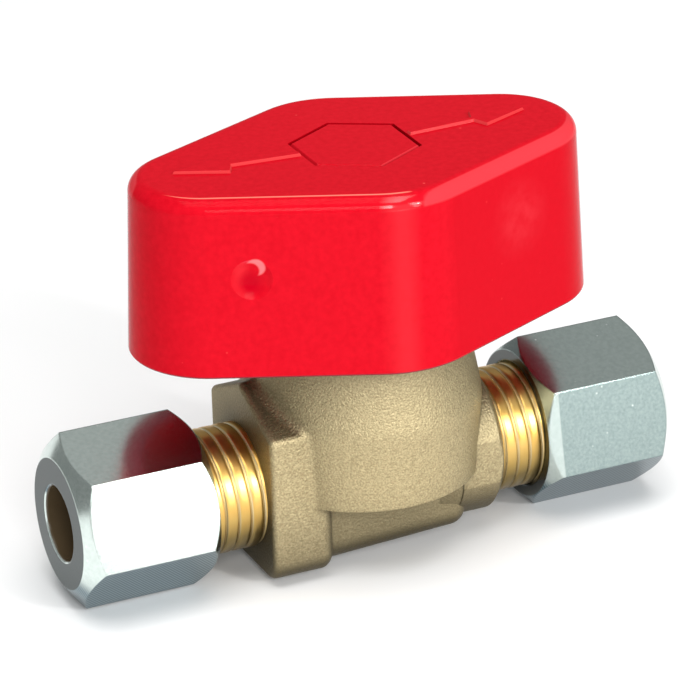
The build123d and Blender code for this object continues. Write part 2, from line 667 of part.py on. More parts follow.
def union_nut(sign, collar, length, tilt):
    """Hexagon nut with a thread core, a 45 degree shoulder and a tube bore."""
    mouth = collar + length
    inner = mouth - SPIGOT_GRIP
    outer = inner + NUT_LENGTH
    _, ring_end = ring_stations(mouth)
    shoulder = ring_end + RING_CLEARANCE * (math.sqrt(2) - 1)
    corner_r = NUT_FLATS / math.sqrt(3)
    flank_r = corner_r + OVERLAP
    relief_r = THREAD_R + NUT_MOUTH_RELIEF
    inner_chamfer = (flank_r - NUT_INNER_FACE_R) * math.tan(math.radians(NUT_INNER_CHAMFER_ANGLE))
    outer_chamfer = (flank_r - NUT_OUTER_FACE_R) * math.tan(math.radians(NUT_OUTER_CHAMFER_ANGLE))
    section = turned_x(
        (inner, relief_r),
        (inner, NUT_INNER_FACE_R),
        (inner + inner_chamfer, flank_r),
        (outer - outer_chamfer, flank_r),
        (outer, NUT_OUTER_FACE_R),
        (outer, NUT_BORE_R + NUT_BORE_CHAMFER),
        (outer - NUT_BORE_CHAMFER, NUT_BORE_R),
        (shoulder + NUT_CORE_R - NUT_BORE_R, NUT_BORE_R),
        (shoulder, NUT_CORE_R),
        (inner + relief_r - NUT_CORE_R, NUT_CORE_R),
    )
    outline = RegularPolygon(NUT_FLATS / 2, 6, major_radius=False, rotation=30 - tilt)
    blank = extrude(Plane.YZ.offset(inner) * outline, NUT_LENGTH)
    return placed(section & blank, sign)


def all_pieces():
    """Every piece of the valve by name."""
    lower_seal, upper_seal = stem_o_rings()
    bonnet_seal_z = BODY_TOP_Z - O_RING_CLEARANCE - BONNET_O_RING_R
    pieces = {
        "valve_body": valve_body(),
        "bonnet": bonnet(),
        "bonnet_o_ring": o_ring(BONNET_O_RING_CENTRE_R, BONNET_O_RING_R, bonnet_seal_z),
        "closing_spring": closing_spring(),
        "piston": piston(),
        "seat_seal": seat_seal(),
        "seal_washer": seal_washer(),
        "seal_screw": seal_screw(),
        "stem": stem(),
        "stem_o_ring_lower": lower_seal,
        "stem_o_ring_upper": upper_seal,
        "thrust_washer": thrust_washer(),
        "cam_pin": cam_pin(),
        "handle": handle(),
        "handle_cap": handle_cap(),
        "handle_screw": handle_screw(),
        "screw_washer": screw_washer(),
    }
    for side, (sign, collar, length, tilt) in ENDS.items():
        pieces[side + "_cutting_ring"] = cutting_ring(sign, collar, length)
        pieces[side + "_union_nut"] = union_nut(sign, collar, length, tilt)
    return pieces


os.makedirs("parts", exist_ok=True)
for name, piece in all_pieces().items():
    export_step(piece, f"parts/{name}.step")
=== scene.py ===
import json
import math

import bmesh
import bpy
from mathutils import Matrix, Vector


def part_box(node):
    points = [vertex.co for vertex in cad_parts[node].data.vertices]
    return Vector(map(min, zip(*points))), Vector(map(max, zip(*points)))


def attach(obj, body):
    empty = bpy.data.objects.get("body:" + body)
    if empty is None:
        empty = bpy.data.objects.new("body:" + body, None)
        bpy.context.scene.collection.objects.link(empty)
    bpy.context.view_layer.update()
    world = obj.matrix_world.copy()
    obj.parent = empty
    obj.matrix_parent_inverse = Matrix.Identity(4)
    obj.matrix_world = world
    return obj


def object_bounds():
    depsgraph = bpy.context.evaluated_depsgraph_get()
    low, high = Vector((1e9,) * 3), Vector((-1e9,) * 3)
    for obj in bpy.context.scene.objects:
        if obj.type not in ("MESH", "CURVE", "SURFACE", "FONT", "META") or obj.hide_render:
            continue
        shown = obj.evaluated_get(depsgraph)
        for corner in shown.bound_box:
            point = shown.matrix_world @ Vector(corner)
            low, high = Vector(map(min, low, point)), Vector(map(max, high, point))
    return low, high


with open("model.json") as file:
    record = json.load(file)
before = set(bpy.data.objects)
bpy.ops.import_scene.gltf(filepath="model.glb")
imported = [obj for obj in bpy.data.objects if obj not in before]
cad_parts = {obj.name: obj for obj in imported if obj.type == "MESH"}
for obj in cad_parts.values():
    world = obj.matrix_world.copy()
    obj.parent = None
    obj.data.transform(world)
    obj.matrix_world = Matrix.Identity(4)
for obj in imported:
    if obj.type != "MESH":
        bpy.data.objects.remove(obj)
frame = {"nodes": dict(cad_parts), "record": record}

# Quick closing valve, in metres: a forged brass body, a red moulded handle and two plated union nuts.
CAD_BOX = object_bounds()
MM = 0.001

# Camera: where it stands round the valve, the point in the middle of its picture, and its lens
CAMERA_AZIMUTH = math.radians(23.943)
CAMERA_ELEVATION = math.radians(24.182)
CAMERA_ROLL = math.radians(-1.621)
CAMERA_DISTANCE = 460.95 * MM
CAMERA_AIM = Vector((0.94, 4.88, 10.81)) * MM
CAMERA_LENS = 213.52
CAMERA_SENSOR = 36.0

# Lights: the direction of each from the valve, then its distance, width, height and power
LIGHT_AIM = Vector((0.0, 0.0, 15.0)) * MM
LIGHTS = {
    "key": ((0.37, -0.85, 0.33), 0.8, 0.22, 0.44, 2.3),
    "spark": ((0.37, -0.84, 0.39), 0.8, 0.035, 0.035, 1.3),
    "fill": ((-0.3, -0.85, 0.43), 0.9, 0.3, 0.3, 3.4),
    "back": ((0.37, 0.47, 0.8), 1.2, 0.9, 0.9, 0.46),
    "overhead": ((-0.1, -0.18, 1.0), 1.2, 1.0, 1.0, 12.9),
}
SURROUND_COLOUR = (0.96, 0.99, 0.98)
SURROUND_STRENGTH = 0.245

# Floor just under the nuts
FLOOR_SIZE = 4.0
FLOOR_GAP = 0.05 * MM
FLOOR_PATCH = 0.4
FLOOR_TONES = ((0.90, 0.90, 0.90), (0.93, 0.93, 0.93))
FLOOR_ROUGHNESS = 0.9

# Threads on the two spigots, right-handed, from the body's collars to the mouths
THREAD_PITCH = 1.5 * MM
THREAD_ROOT_R = 6.08 * MM
THREAD_CREST_R = 7.0 * MM
THREAD_GROOVE = 0.24 * MM
THREAD_EMBED = 0.1 * MM
THREAD_MARGIN = 0.5 * MM
THREAD_SHARPNESS = 5.0
THREAD_STEPS = 96
THREAD_FADE_STEPS = 40
THREAD_PROFILE_STEPS = 20
COLLAR_X = {"left": -14.6 * MM, "right": 13.55 * MM}

# Raised double arrow on the handle's top, one half each side of the cap
ARROW_START_X = 6.4 * MM
ARROW_NECK_X = 14.2 * MM
ARROW_BARB_X = 14.9 * MM
ARROW_TIP_X = 20.7 * MM
ARROW_HALF_WIDTH = 0.45 * MM
ARROW_BARB_WIDTH = 2.2 * MM
ARROW_RAISE = 0.3 * MM
ARROW_SLOPE = 0.2 * MM
ARROW_EMBED = 0.3 * MM
ARROW_TURN = {"left": math.radians(-5.1), "right": math.radians(2.6)}
ARROW_PIVOT_Y = -0.1 * MM

# Web that joins the run under the drum to the right boss, on the front and the back
WEB_LEVELS = [0.0, -1.5 * MM, -2.6 * MM, -3.4 * MM, -4.2 * MM, -5.0 * MM]
WEB_DRUM_X = 5.5 * MM
WEB_BOSS_X = 8.7 * MM
WEB_INNER_Y = 5.5 * MM
WEB_OUTER_Y = 7.0 * MM
WEB_SINK = 0.06 * MM
BOSS_R = 8.5 * MM
BOSS_HALF_FLAT = 8.1 * MM

# Edges that turn further than this stay sharp
SHARP_ANGLE = math.radians(40)

# Middle part of a random pattern that is stretched over its whole range, softly or crisply
SOFT = (0.3, 0.7)
CRISP = (0.35, 0.65)

# Scattered specks: the size of their patches in spacings, and how much of the pattern bears them
SPECK_PATCH = 2.3
SPECK_SHARE = (0.55, 0.62)

# Moulded red: its two tones, their clouds, its gloss and its ripple, and the dust on it
RED_TONES = ((0.52, 0.003, 0.011), (0.59, 0.005, 0.015))
RED_CLOUD = 0.7 * MM
RED_GLOSS_PATCH = 2 * MM
RED_ROUGHNESS = (0.06, 0.11)
RED_SHINE = 0.03
RED_RIPPLE = 0.8 * MM
RED_RIPPLE_DEPTH = 0.006 * MM
DUST_SPACING = 2.2 * MM
DUST_SIZE = 0.04
DUST_TONE = (0.75, 0.06, 0.06)

# Other tones of the handle and the arrow
# Painted shade on the right flank
FLANK_SHADE_TONE = (0.50, 0.0006, 0.008)
# Painted shade on the rim under the handle, and painted light in its hollow
RIM_SHADE_AND_HOLLOW_LIGHT_TONES = ((0.25, 0.025, 0.04), (0.95, 0.16, 0.25))
# Painted highlight on the fillet over the right flank
FILLET_HIGHLIGHT_TONE = (0.63, 0.036, 0.047)
# Painted highlight along the brim over the left flank
BRIM_HIGHLIGHT_TONE = (0.90, 0.20, 0.15)
# Lighter red in mottled patches on the right flank
LIGHT_PATCH_TONE = (0.57, 0.016, 0.026)
# Painted sheen down the blunt front corner
CORNER_SHEEN_TONE = (0.66, 0.03, 0.04)
# Painted shade in the grooves
GROOVE_SHADE_TONE = (0.40, 0.001, 0.006)
# Painted shade on one side of the dent
DENT_SHADE_TONE = (0.44, 0.001, 0.010)
# Painted crescent of light on the dent's other side
CRESCENT_LIGHT_TONE = (0.85, 0.17, 0.18)
# Painted highlight on the arrow's sloping sides
ARROW_SIDE_HIGHLIGHT_TONE = (0.64, 0.045, 0.05)

# Bands of the handle and the arrow, by the slope of their faces along one axis or two axes multiplied
RIGHT_FLANK_SHADE = (0.3, 0.4)
FLANK_SHADE_STRENGTH = 0.7
UNDERSIDE = (-0.5, -0.3)
FILLET_FOOT = (0.12, 0.2)
FILLET_TOP = (0.93, 0.97)
FILLET_SKEW = (-0.06, -0.03)
BRIM = (0.955, 0.975)
BRIM_LEAN = (0.12, 0.15)
BRIM_SKEW = (0.001, 0.004)
CORNER_LEAN = 0.19
CORNER_WIDTH = (0.04, 0.2)
CORNER_FRONT = (-0.9, -0.85)
CORNER_STRENGTH = 0.4
ARROW_SIDES = (0.8, 0.95)

# Depth above the rim under the handle where the painted light of the hollow starts, and the reach and
# openness of the painted shade in the grooves
RIM_DEPTH = (1 * MM, 2 * MM)
GROOVE_REACH = 0.8 * MM
GROOVE_OPENNESS = (0.5, 0.95)

# Marks on the handle, each a point with the radii where it begins to fade and where it ends:
# the painted shade on one side of the dent, the painted crescent of light on its other side, the polished
# corner, the lighter patch
DENT = Vector((-16.67, -9.97, 28.66)) * MM
DENT_SHADE = (DENT + Vector((-0.2, 0.1, -0.7)) * MM, 0.7 * MM, 1.7 * MM)
DENT_SHEEN = DENT + Vector((-0.3, 0.1, 0.5)) * MM
SHEEN_SIDE = Vector((0.73, -0.33, 0.6)) * MM
CRESCENT = (DENT_SHEEN + 0.9 * SHEEN_SIDE, 0.95 * MM, 1.15 * MM)
CRESCENT_BITE = (DENT_SHEEN + 0.15 * SHEEN_SIDE, 1.0 * MM, 1.2 * MM)
POLISHED = (Vector((-2.2, -16.7, 36.1)) * MM, 1.2 * MM, 2.6 * MM)
POLISHED_ROUGHNESS = 0.12
LIGHT_PATCH_SPOT = (Vector((14.6, -11.6, 29.9)) * MM, 1.0 * MM, 5.0 * MM)
LIGHT_PATCH_GRAIN = 1.5 * MM
LIGHT_PATCH_STRENGTH = (0.3, 1)

# Reach of the painted shade in the corners and recesses of the metals, and how it fades
CORNER_SHADE_REACH = 12.0 * MM
CORNER_SHADE_FADE = 0.6

# Forged, turned and threaded brass
FORGED_TONES = ((0.38, 0.31, 0.175), (0.58, 0.485, 0.285))
# Painted shade in the recesses of the forged brass
FORGED_SHADE_TONE = (0.12, 0.10, 0.06)
FORGED_PATCH = 0.2 * MM
FORGED_ROUGHNESS = (0.48, 0.58)
FORGED_GRAIN = 0.24 * MM
FORGED_DEPTH = 0.1 * MM
FORGED_EDGE = 0.3 * MM
TURNED_TONES = ((0.72, 0.50, 0.20), (0.84, 0.63, 0.29))
TURNED_PATCH = 2 * MM
TURNED_ROUGHNESS = (0.2, 0.28)
TURNED_LINE = 0.12 * MM
TURNED_STRETCH = (1, 0.04, 0.04)
TURNED_DEPTH = 0.004 * MM
THREAD_TONES = ((0.80, 0.47, 0.11), (0.90, 0.60, 0.19))
THREAD_PATCH = 4 * MM
THREAD_ROUGHNESS = (0.3, 0.36)
GROOVED_R = (THREAD_CREST_R - 0.14 * MM, THREAD_CREST_R - 0.05 * MM)
# Painted highlight in the thread's grooves
GROOVE_HIGHLIGHT_TONE = (1.0, 0.88, 0.60)
# Painted shade on the thread's faces that turn downwards
DOWNWARD_SHADE = (-0.45, 0.2)
DOWNWARD_SHADE_TONE = (0.24, 0.17, 0.06)

# Zinc plate: its own tones, the tool marks on the low flats, the end faces and, on the right nut, the film;
# the right nut's darker tones, the dark tones of the low flats and of the end faces and the film's darkness
# are painted shade
BRIGHT_ZINC = {
    "tones": ((0.69, 0.78, 0.74), (0.76, 0.85, 0.81)),
    # Tool marks on the low flats, in tones darkened as painted shade
    "low": ((0.08, 0.125, 0.145), (0.26, 0.34, 0.37)),
    # End faces darkened as painted shade
    "end": (0.02, 0.035, 0.034),
}
# Darker copy of the zinc for the right nut: painted shade
SHADED_ZINC = {
    "tones": ((0.50, 0.58, 0.55), (0.56, 0.64, 0.61)),
    # Tool marks on the low flats, in tones darkened as painted shade
    "low": ((0.02, 0.05, 0.065), (0.17, 0.24, 0.27)),
    # End faces darkened as painted shade
    "end": (0.10, 0.11, 0.105),
    # Mottled film on the front flat, darkened as painted shade
    "film": ((0.27, 0.345, 0.335), (0.36, 0.44, 0.425)),
}
# Painted shade in the recesses of the zinc
ZINC_SHADE_TONE = (0.16, 0.19, 0.21)
ZINC_PATCH = 0.5 * MM
ZINC_ROUGHNESS = (0.16, 0.20)
ZINC_GRAIN = 0.3 * MM
ZINC_DEPTH = 0.0008 * MM
ZINC_EDGE = 0.3 * MM
GLINT_SPACING = 1.4 * MM
GLINT_SIZE = 0.05
GLINT_TONE = (0.92, 0.97, 0.95)
TOOL_MARK_SPACING = 0.3 * MM
TOOL_MARK_DIRECTION = (-0.825, 0.390, -0.409)
LOW_FLATS = (-0.4, -0.3)
END_FACES = (0.9, 0.96)
BORE_R = (4.2 * MM, 4.3 * MM)
BORE_TONE = (0.075, 0.052, 0.028)

# Mottled film on the front flat, darkened as painted shade, right of an edge that is part of a very large
# circle
FILM_EDGE_X = 20.4 * MM
FILM_REACH = 200.0 * MM
FILM_FADE = 0.2 * MM
FILM = (Vector((FILM_EDGE_X + FILM_REACH, 0, 0)), FILM_REACH, FILM_REACH + FILM_FADE)
FILM_GRAIN = 0.35 * MM
FRONT_FLAT = (-0.95, -0.9)

# Steels: tones, roughness, grain and its depth
STEEL_PATCH = 1 * MM
BARE_STEEL = (((0.42, 0.42, 0.41), (0.54, 0.54, 0.53)), (0.28, 0.4), 0.2 * MM, 0.01 * MM)
SPRING_STEEL = (((0.30, 0.31, 0.33), (0.42, 0.43, 0.45)), (0.3, 0.42), 0.15 * MM, 0.008 * MM)

# Matt mouldings: the tones and roughness of the seals and the thrust washer, and their skin
RUBBER = (((0.012, 0.012, 0.013), (0.03, 0.03, 0.032)), (0.55, 0.7))
WHITE_PLASTIC = (((0.78, 0.78, 0.75), (0.88, 0.88, 0.86)), (0.4, 0.5))
MATT_CLOUD = 0.6 * MM
MATT_GLOSS_PATCH = 1 * MM
MATT_GRAIN = 0.2 * MM
MATT_DEPTH = 0.01 * MM


def new_material(name):
    """Empty material with its node tree and shader."""
    material = bpy.data.materials.new(name)
    material.use_nodes = True
    tree = material.node_tree
    return material, tree, tree.nodes["Principled BSDF"]


def object_point(tree, stretch=(1, 1, 1)):
    """Position on the object in metres, stretched."""
    place = tree.nodes.new("ShaderNodeTexCoord")
    mapping = tree.nodes.new("ShaderNodeMapping")
    mapping.inputs["Scale"].default_value = stretch
    tree.links.new(place.outputs["Object"], mapping.inputs["Vector"])
    return mapping.outputs["Vector"]


def noise(tree, grain, detail=2.0, stretch=(1, 1, 1)):
    """Soft random pattern with features about one grain across."""
    pattern = tree.nodes.new("ShaderNodeTexNoise")
    pattern.inputs["Scale"].default_value = 1 / grain
    pattern.inputs["Detail"].default_value = detail
    tree.links.new(object_point(tree, stretch), pattern.inputs["Vector"])
    return pattern.outputs["Fac"]


def dots(tree, spacing):
    """Distance to the nearest of many scattered points, in spacings."""
    pattern = tree.nodes.new("ShaderNodeTexVoronoi")
    pattern.inputs["Scale"].default_value = 1 / spacing
    tree.links.new(object_point(tree), pattern.inputs["Vector"])
    return pattern.outputs["Distance"]


def remap(tree, value, low, high, to_low, to_high):
    """Value moved from one range to another, held at the ends."""
    ranges = tree.nodes.new("ShaderNodeMapRange")
    ranges.inputs["From Min"].default_value = low
    ranges.inputs["From Max"].default_value = high
    ranges.inputs["To Min"].default_value = to_low
    ranges.inputs["To Max"].default_value = to_high
    tree.links.new(value, ranges.inputs["Value"])
    return ranges.outputs["Result"]


def rising(tree, value, low, high, top=1):
    """Nothing below the low value, the top above the high one."""
    return remap(tree, value, low, high, 0, top)


def falling(tree, value, low, high, top=1):
    """The top below the low value, nothing above the high one."""
    return remap(tree, value, low, high, top, 0)


def mottle(tree, grain, detail, low=0, high=1, spread=SOFT):
    """Random value between two ends, in patches about one grain across."""
    return remap(tree, noise(tree, grain, detail), *spread, low, high)


def combine(tree, operation, first, second=0.0):
    """Two values put together by one sum."""
    sums = tree.nodes.new("ShaderNodeMath")
    sums.operation = operation
    for socket, value in zip(sums.inputs, (first, second)):
        if isinstance(value, (int, float)):
            socket.default_value = value
        else:
            tree.links.new(value, socket)
    return sums.outputs["Value"]


def multiply(tree, product, *others):
    """Product of two or more values."""
    for other in others:
        product = combine(tree, "MULTIPLY", product, other)
    return product


def absolute(tree, value):
    """Size of a value without its sign."""
    return combine(tree, "ABSOLUTE", value)


def opposite(tree, value):
    """One where the value is nothing, and nothing where it is one."""
    return combine(tree, "SUBTRACT", 1.0, value)


def facing(tree, axis):
    """How much the surface faces along one of the object's axes."""
    place = tree.nodes.new("ShaderNodeTexCoord")
    parts = tree.nodes.new("ShaderNodeSeparateXYZ")
    tree.links.new(place.outputs["Normal"], parts.inputs["Vector"])
    return parts.outputs[axis]


def height(tree):
    """Height on the object, from the pipe's axis."""
    parts = tree.nodes.new("ShaderNodeSeparateXYZ")
    tree.links.new(object_point(tree), parts.inputs["Vector"])
    return parts.outputs["Z"]


def from_axis(tree):
    """Distance from the pipe's axis."""
    length = tree.nodes.new("ShaderNodeVectorMath")
    length.operation = "LENGTH"
    tree.links.new(object_point(tree, (0, 1, 1)), length.inputs[0])
    return length.outputs["Value"]


def spot(tree, centre, inner, outer):
    """One close to a point, falling to nothing further out."""
    apart = tree.nodes.new("ShaderNodeVectorMath")
    apart.operation = "DISTANCE"
    apart.inputs[1].default_value = centre
    tree.links.new(object_point(tree), apart.inputs[0])
    return falling(tree, apart.outputs["Value"], inner, outer)


def specks(tree, spacing, size):
    """Scattered dots in some patches of the surface."""
    patches = rising(tree, noise(tree, SPECK_PATCH * spacing), *SPECK_SHARE)
    return multiply(tree, falling(tree, dots(tree, spacing), size, 2 * size), patches)


def stripes(tree, spacing, direction):
    """Fine parallel lines across a direction."""
    along = tree.nodes.new("ShaderNodeVectorMath")
    along.operation = "DOT_PRODUCT"
    along.inputs[1].default_value = Vector(direction).normalized() * (2 * math.pi / spacing)
    tree.links.new(object_point(tree), along.inputs[0])
    return rising(tree, combine(tree, "SINE", along.outputs["Value"]), -1, 1)


def openness(tree, reach):
    """How open a spot is: low in recesses and close to other surfaces."""
    around = tree.nodes.new("ShaderNodeAmbientOcclusion")
    around.inputs["Distance"].default_value = reach
    return around.outputs["AO"]


def blend(tree, factor, first, second):
    """Colour between two others, each a colour or a socket."""
    mix = tree.nodes.new("ShaderNodeMix")
    mix.data_type = "RGBA"
    tree.links.new(factor, mix.inputs["Factor"])
    for socket, colour in zip((mix.inputs[6], mix.inputs[7]), (first, second)):
        if isinstance(colour, tuple):
            socket.default_value = (*colour, 1.0)
        else:
            tree.links.new(colour, socket)
    return mix.outputs[2]


def cover(tree, shader, factor, colour):
    """Colour laid over the shader's own where the factor is one."""
    base = shader.inputs["Base Color"]
    tree.links.new(blend(tree, factor, base.links[0].from_socket, colour), base)


def relief(tree, shader, pattern, depth, edge=0.0):
    """Raised pattern of the given depth, over edges that look rounded."""
    surface = tree.nodes.new("ShaderNodeBump")
    surface.inputs["Distance"].default_value = depth
    tree.links.new(pattern, surface.inputs["Height"])
    if edge:
        rounding = tree.nodes.new("ShaderNodeBevel")
        rounding.inputs["Radius"].default_value = edge
        tree.links.new(rounding.outputs["Normal"], surface.inputs["Normal"])
    tree.links.new(surface.outputs["Normal"], shader.inputs["Normal"])


def moulded_red(name):
    """Moulded red with a fine grain, a faint ripple and specks of dust."""
    material, tree, shader = new_material(name)
    tone = blend(tree, mottle(tree, RED_CLOUD, 5.0), *RED_TONES)
    tree.links.new(tone, shader.inputs["Base Color"])
    cover(tree, shader, specks(tree, DUST_SPACING, DUST_SIZE), DUST_TONE)
    tree.links.new(mottle(tree, RED_GLOSS_PATCH, 2.0, *RED_ROUGHNESS), shader.inputs["Roughness"])
    shader.inputs["Specular IOR Level"].default_value = RED_SHINE
    relief(tree, shader, noise(tree, RED_RIPPLE), RED_RIPPLE_DEPTH)
    return material, tree, shader


def underside(tree, shader):
    """Painted shade on the rim under the handle, and painted light in the pale hollow it goes round."""
    below = falling(tree, facing(tree, "Z"), *UNDERSIDE)
    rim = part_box("handle")[0].z
    hollow = rising(tree, height(tree), *(rim + depth for depth in RIM_DEPTH))
    cover(tree, shader, below, blend(tree, hollow, *RIM_SHADE_AND_HOLLOW_LIGHT_TONES))


def painted_edge_highlights_and_polish(tree, shader):
    """Painted highlight on the fillet over the right flank, a polished blunt corner and a thin painted
    highlight along the brim over the left flank.
    """
    up = facing(tree, "Z")
    skew = multiply(tree, facing(tree, "X"), facing(tree, "Y"))
    fillet = multiply(tree, rising(tree, up, *FILLET_FOOT), falling(tree, up, *FILLET_TOP))
    # Painted highlight on the fillet over the right flank
    cover(tree, shader, multiply(tree, fillet, falling(tree, skew, *FILLET_SKEW)), FILLET_HIGHLIGHT_TONE)
    tree.links.new(multiply(tree, fillet, spot(tree, *POLISHED)), shader.inputs["Coat Weight"])
    shader.inputs["Coat Roughness"].default_value = POLISHED_ROUGHNESS
    lean = rising(tree, absolute(tree, facing(tree, "Y")), *BRIM_LEAN)
    brim = multiply(tree, rising(tree, up, *BRIM), lean, rising(tree, skew, *BRIM_SKEW))
    # Painted highlight along the brim over the left flank
    cover(tree, shader, brim, BRIM_HIGHLIGHT_TONE)


def painted_corner_sheen(tree, shader):
    """Painted soft upright sheen down the blunt front corner."""
    front = falling(tree, facing(tree, "Y"), *CORNER_FRONT, CORNER_STRENGTH)
    aside = absolute(tree, combine(tree, "ADD", facing(tree, "X"), CORNER_LEAN))
    cover(tree, shader, multiply(tree, front, falling(tree, aside, *CORNER_WIDTH)), CORNER_SHEEN_TONE)


def painted_dent_light_and_shade(tree, shader):
    """Painted shade on one side of the dent, and a painted crescent of light on its other side."""
    cover(tree, shader, spot(tree, *DENT_SHADE), DENT_SHADE_TONE)
    crescent = multiply(tree, spot(tree, *CRESCENT), opposite(tree, spot(tree, *CRESCENT_BITE)))
    cover(tree, shader, crescent, CRESCENT_LIGHT_TONE)


def handle_red():
    """Red of the handle: painted shade on the right flank, painted shade on the rim under it and painted
    light in its hollow, painted highlights on the edges, a painted sheen down the front corner, a lighter
    patch, painted shade in the grooves, and painted shade and light in the dent.
    """
    material, tree, shader = moulded_red("handle_red")
    # Painted shade: the right flank is darker
    cover(tree, shader, rising(tree, facing(tree, "X"), *RIGHT_FLANK_SHADE, FLANK_SHADE_STRENGTH), FLANK_SHADE_TONE)
    underside(tree, shader)
    painted_edge_highlights_and_polish(tree, shader)
    # Lighter red in mottled patches round a spot on the right flank
    light_patch = mottle(tree, LIGHT_PATCH_GRAIN, 4.0, *LIGHT_PATCH_STRENGTH, CRISP)
    cover(tree, shader, multiply(tree, light_patch, spot(tree, *LIGHT_PATCH_SPOT)), LIGHT_PATCH_TONE)
    painted_corner_sheen(tree, shader)
    # Painted shade in the grooves and recesses of the handle
    grooves = falling(tree, openness(tree, GROOVE_REACH), *GROOVE_OPENNESS)
    cover(tree, shader, grooves, GROOVE_SHADE_TONE)
    painted_dent_light_and_shade(tree, shader)
    return material


def arrow_red():
    """Red of the raised arrow, with a painted highlight on its sloping sides."""
    material, tree, shader = moulded_red("arrow_red")
    cover(tree, shader, falling(tree, facing(tree, "Z"), *ARROW_SIDES), ARROW_SIDE_HIGHLIGHT_TONE)
    return material


def metal(name, tones, patch, roughness, corner_shade=None, unshaded_openness=0.75):
    """Metal with two tones in soft patches, uneven gloss and perhaps painted shade in its recesses."""
    material, tree, shader = new_material(name)
    shader.inputs["Metallic"].default_value = 1.0
    tone = blend(tree, mottle(tree, patch, 4.0, spread=CRISP), *tones)
    # Painted shade: darker where the surface is less open
    if corner_shade:
        unshaded = rising(tree, openness(tree, CORNER_SHADE_REACH), unshaded_openness - CORNER_SHADE_FADE, unshaded_openness)
        tone = blend(tree, unshaded, corner_shade, tone)
    tree.links.new(tone, shader.inputs["Base Color"])
    tree.links.new(mottle(tree, patch / 2, 3.0, *roughness), shader.inputs["Roughness"])
    return material, tree, shader


def forged_brass():
    """Shot-blasted brass: a fine even grain that sparkles."""
    # Painted shade in its recesses and where other parts are close
    material, tree, shader = metal(
        "forged_brass", FORGED_TONES, FORGED_PATCH, FORGED_ROUGHNESS, FORGED_SHADE_TONE, unshaded_openness=1.0)
    relief(tree, shader, noise(tree, FORGED_GRAIN), FORGED_DEPTH, FORGED_EDGE)
    return material


def turned_brass():
    """Bright turned brass with fine tool lines."""
    material, tree, shader = metal("turned_brass", TURNED_TONES, TURNED_PATCH, TURNED_ROUGHNESS)
    relief(tree, shader, noise(tree, TURNED_LINE, 1.0, TURNED_STRETCH), TURNED_DEPTH)
    return material


def thread_brass():
    """Amber brass of the threads: a painted highlight in the grooves and painted shade on the faces that
    turn downwards.
    """
    material, tree, shader = metal("thread_brass", THREAD_TONES, THREAD_PATCH, THREAD_ROUGHNESS)
    # Painted highlight in the grooves
    cover(tree, shader, falling(tree, from_axis(tree), *GROOVED_R), GROOVE_HIGHLIGHT_TONE)
    # Painted shade on the faces that turn downwards
    cover(tree, shader, falling(tree, facing(tree, "Z"), *DOWNWARD_SHADE), DOWNWARD_SHADE_TONE)
    return material


def zinc_plate(name, tones, low, end, film=None):
    """Bright plated steel: end faces darkened as painted shade, a brown bore, slanting tool marks on the low
    flats in tones darkened as painted shade, and painted shade in its recesses.
    """
    material, tree, shader = metal(name, tones, ZINC_PATCH, ZINC_ROUGHNESS, ZINC_SHADE_TONE)
    if film:
        # Mottled film on the front flat, darkened as painted shade
        front = falling(tree, facing(tree, "Y"), *FRONT_FLAT)
        mottled = blend(tree, mottle(tree, FILM_GRAIN, 5.0), *film)
        cover(tree, shader, multiply(tree, front, spot(tree, *FILM)), mottled)
    cover(tree, shader, specks(tree, GLINT_SPACING, GLINT_SIZE), GLINT_TONE)
    marks = blend(tree, stripes(tree, TOOL_MARK_SPACING, TOOL_MARK_DIRECTION), *low)
    # Tool marks on the low flats, in tones darkened as painted shade
    cover(tree, shader, falling(tree, facing(tree, "Z"), *LOW_FLATS), marks)
    # End faces darkened as painted shade
    cover(tree, shader, rising(tree, absolute(tree, facing(tree, "X")), *END_FACES), end)
    bore = falling(tree, from_axis(tree), *BORE_R)
    cover(tree, shader, bore, BORE_TONE)
    tree.links.new(opposite(tree, bore), shader.inputs["Metallic"])
    relief(tree, shader, noise(tree, ZINC_GRAIN), ZINC_DEPTH, ZINC_EDGE)
    return material


def steel(name, tones, roughness, grain, depth):
    """Plain steel, turned or drawn, with a fine grain."""
    material, tree, shader = metal(name, tones, STEEL_PATCH, roughness)
    relief(tree, shader, noise(tree, grain), depth)
    return material


def moulded(name, tones, roughness):
    """Matt moulded surface with a fine skin."""
    material, tree, shader = new_material(name)
    tree.links.new(blend(tree, noise(tree, MATT_CLOUD), *tones), shader.inputs["Base Color"])
    tree.links.new(mottle(tree, MATT_GLOSS_PATCH, 2.0, *roughness), shader.inputs["Roughness"])
    relief(tree, shader, noise(tree, MATT_GRAIN), MATT_DEPTH)
    return material


def dress_frame(materials):
    """Every solid piece takes the material of its slot."""
    for part in frame["record"]["subparts"]:
        mesh = frame["nodes"][part["node"]].data
        mesh.materials.clear()
        mesh.materials.append(materials[part["material_slot"]])


def skin(shape, rows):
    """Closed skin over rows of points, from the first row to the last."""
    for row, following in zip(rows, rows[1:]):
        for i in range(len(row)):
            j = (i + 1) % len(row)
            shape.faces.new((row[i], row[j], following[j], following[i]))
    for end in (rows[0], rows[-1]):
        shape.faces.new(end)


def new_piece(name, shape, material):
    """Piece of the given shape, with smooth faces and sharp corners."""
    bmesh.ops.recalc_face_normals(shape, faces=shape.faces[:])
    for face in shape.faces:
        face.smooth = True
    for edge in shape.edges:
        edge.smooth = edge.calc_face_angle(0) < SHARP_ANGLE
    mesh = bpy.data.meshes.new(name)
    shape.to_mesh(mesh)
    shape.free()
    mesh.materials.append(material)
    piece = bpy.data.objects.new(name, mesh)
    bpy.context.scene.collection.objects.link(piece)
    return piece


